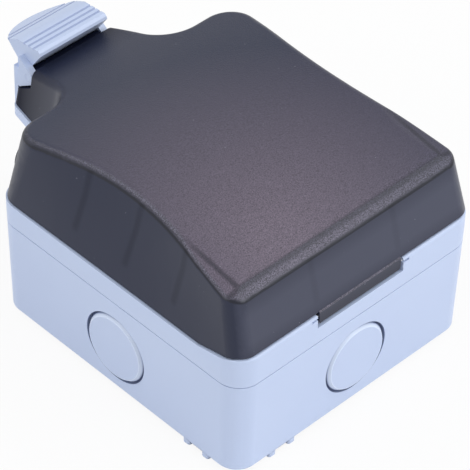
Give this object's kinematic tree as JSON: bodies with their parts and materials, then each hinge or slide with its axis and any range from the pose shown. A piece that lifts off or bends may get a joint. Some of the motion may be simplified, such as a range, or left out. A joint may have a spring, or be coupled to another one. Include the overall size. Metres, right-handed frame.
{
  "type": "outdoor weatherproof socket",
  "caption": "Surface-mounted outdoor outlet box with a hinged smoked lid, a finger latch, cable seals and a switched three-pin outlet inside.",
  "frame": {"origin": "middle of the two fixing holes, on the wall plane that the stand-off ribs and feet touch", "axes": "+Z away from the wall, +Y up the wall towards the lid's hinge, the latch at -Y; the object lies on its back at rest"},
  "size_m": [0.1, 0.1479, 0.0747],
  "materials": {
    "shell": "fine satin moulding",
    "smoked": "smoked, finely grained top",
    "rubber": "matt",
    "steel": "bright",
    "brass": "bright",
    "outlet": "satin",
    "cover": "matt",
    "shutter": "matt"
  },
  "bodies": {
    "base": {"back_box": "shell", "box_gasket": "rubber", "front_frame": "shell", "frame_screws": "steel", "lid_seal": "rubber", "hinge_pin": "steel", "cable_seal_left": "rubber", "cable_seal_right": "rubber", "outlet_face": "outlet", "rear_cover": "cover", "outlet_screws": "steel", "shutter_spring": "steel", "neutral_contact": "brass", "earth_contact": "brass", "live_contact": "brass", "live_terminal": "brass", "switch_blade": "brass", "terminal_screws": "steel", "earth_terminal": "brass", "earth_terminal_screw": "steel"},
    "lid": {"lid": "smoked", "latch_pin": "shell"},
    "latch": {"latch": "shell"},
    "rocker": {"rocker": "outlet"},
    "shutter": {"shutter": "shutter"}
  },
  "joints": [
    {"name": "lid_hinge", "type": "hinge", "parent": "base", "child": "lid", "pos_m": [0, 0.05185, 0.04715], "axis": [-1, 0, 0], "range_deg": [0, 105]},
    {"name": "latch_pivot", "type": "hinge", "parent": "lid", "child": "latch", "pos_m": [0, -0.076, 0.0581], "axis": [-1, 0, 0], "range_deg": [0, 18]},
    {"name": "rocker_tilt", "type": "hinge", "parent": "base", "child": "rocker", "pos_m": [0.0178, 0.0176, 0.03895], "axis": [-1, 0, 0], "range_deg": [0, 16]},
    {"name": "shutter_slide", "type": "slide", "parent": "base", "child": "shutter", "axis": [0, -1, 0], "range_m": [0, 0.0065], "stiffness_N_per_m": 150, "springref_m": -0.003, "deforming": ["shutter_spring"]}
  ]
}
